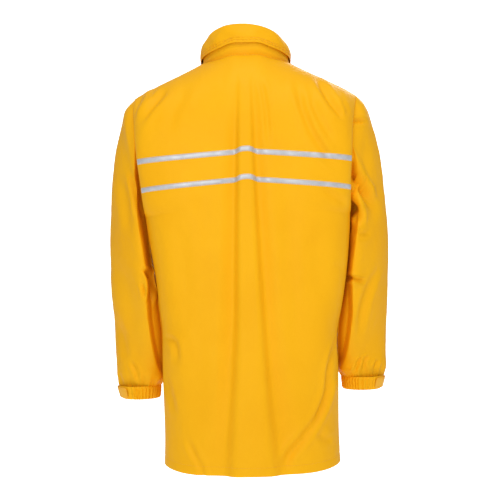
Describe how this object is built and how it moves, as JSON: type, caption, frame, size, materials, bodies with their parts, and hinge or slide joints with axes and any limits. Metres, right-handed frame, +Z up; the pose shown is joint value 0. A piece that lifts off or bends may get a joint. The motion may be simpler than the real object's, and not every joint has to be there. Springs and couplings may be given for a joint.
{
  "type": "foul weather jacket",
  "caption": "Hip-length coated rain jacket with a high collar holding a rolled hood, reflective back tapes, gathered cuffs, flapped front zip and flapped pockets.",
  "frame": {"origin": "midway between the two shoulder points, where the wearer's shoulders carry the jacket", "axes": "+Z up, the wearer faces -Y, the wearer's left side is +X"},
  "size_m": [0.5626, 0.2661, 0.874],
  "materials": {
    "coated_cloth": "smooth yellow-orange polymer coating, satin",
    "pale_cloth": "the same coated cloth, slightly paler, matte",
    "lining_cloth": "plain woven cloth, matte",
    "reflective_tape": "silver-grey glass-bead tape",
    "elastic_band": "woven elastic, matte",
    "zip_cloth": "woven zip tape with moulded teeth",
    "zip_metal": "satin metal",
    "snap_metal": "satin nickel",
    "hook_and_loop": "hook-and-loop pile"
  },
  "bodies": {
    "coat": {"back_panel": "coated_cloth", "front_panel_left": "coated_cloth", "front_panel_right": "coated_cloth", "reflective_tape_upper": "reflective_tape", "reflective_tape_lower": "reflective_tape", "collar_stand": "coated_cloth", "collar_upper_band": "coated_cloth", "collar_lining": "lining_cloth", "collar_hook_strip": "hook_and_loop", "rolled_hood": "lining_cloth", "zip_tape_left": "zip_cloth", "zip_tape_right": "zip_cloth", "zip_box": "zip_metal", "zip_guard": "lining_cloth", "flap_snap_stud_1": "snap_metal", "flap_snap_stud_2": "snap_metal", "flap_snap_stud_3": "snap_metal", "flap_snap_stud_4": "snap_metal", "flap_snap_stud_5": "snap_metal", "flap_snap_stud_6": "snap_metal", "pocket_left": "coated_cloth", "pocket_right": "coated_cloth", "pocket_snap_stud_left": "snap_metal", "pocket_snap_stud_right": "snap_metal"},
    "left_sleeve": {"sleeve_left": "coated_cloth", "cuff_casing_left": "coated_cloth", "cuff_elastic_left": "elastic_band", "cuff_loop_patch_left": "hook_and_loop"},
    "right_sleeve": {"sleeve_right": "coated_cloth", "cuff_casing_right": "coated_cloth", "cuff_elastic_right": "elastic_band", "cuff_loop_patch_right": "hook_and_loop"},
    "left_cuff_tab": {"cuff_tab_left": "pale_cloth"},
    "right_cuff_tab": {"cuff_tab_right": "pale_cloth"},
    "slider": {"zip_slider": "zip_metal", "zip_pull_rivet": "zip_metal"},
    "pull": {"zip_pull": "zip_metal"},
    "flap": {"storm_flap": "coated_cloth", "flap_snap_cap_1": "snap_metal", "flap_snap_cap_2": "snap_metal", "flap_snap_cap_3": "snap_metal", "flap_snap_cap_4": "snap_metal", "flap_snap_cap_5": "snap_metal", "flap_snap_cap_6": "snap_metal"},
    "left_pocket_flap": {"pocket_flap_left": "coated_cloth", "pocket_snap_cap_left": "snap_metal"},
    "right_pocket_flap": {"pocket_flap_right": "coated_cloth", "pocket_snap_cap_right": "snap_metal"},
    "hanger": {"hanger_loop": "coated_cloth"}
  },
  "joints": [
    {"name": "left_sleeve_raise", "type": "hinge", "parent": "coat", "child": "left_sleeve", "pos_m": [0.222, 0, -0.007], "axis": [0, -1, 0], "range_deg": [0, 70]},
    {"name": "right_sleeve_raise", "type": "hinge", "parent": "coat", "child": "right_sleeve", "pos_m": [-0.222, 0, -0.007], "axis": [0, 1, 0], "range_deg": [0, 70]},
    {"name": "left_cuff_tab_peel", "type": "hinge", "parent": "left_sleeve", "child": "left_cuff_tab", "pos_m": [0.2656, -0.0777, -0.579], "axis": [0, 0, -1], "range_deg": [0, 60]},
    {"name": "right_cuff_tab_peel", "type": "hinge", "parent": "right_sleeve", "child": "right_cuff_tab", "pos_m": [-0.2656, -0.0777, -0.579], "axis": [0, 0, 1], "range_deg": [0, 60]},
    {"name": "front_zip_slide", "type": "slide", "parent": "coat", "child": "slider", "axis": [0, 0, -1], "range_m": [0, 0.735]},
    {"name": "zip_pull_swing", "type": "hinge", "parent": "slider", "child": "pull", "pos_m": [0, -0.1289, 0.051], "axis": [0, 1, 0], "range_deg": [-25, 25]},
    {"name": "storm_flap_open", "type": "hinge", "parent": "coat", "child": "flap", "pos_m": [0.04, -0.1308, 0], "axis": [0, 0, 1], "range_deg": [0, 100]},
    {"name": "left_pocket_flap_lift", "type": "hinge", "parent": "coat", "child": "left_pocket_flap", "pos_m": [0.1212, -0.1048, -0.426], "axis": [-0.8796, -0.4758, 0], "range_deg": [0, 120]},
    {"name": "right_pocket_flap_lift", "type": "hinge", "parent": "coat", "child": "right_pocket_flap", "pos_m": [-0.1212, -0.1048, -0.426], "axis": [-0.8796, 0.4758, 0], "range_deg": [0, 120]},
    {"name": "hanger_loop_swing", "type": "hinge", "parent": "coat", "child": "hanger", "pos_m": [0, 0.0434, 0.082], "axis": [-1, 0, 0], "range_deg": [0, 90]}
  ]
}
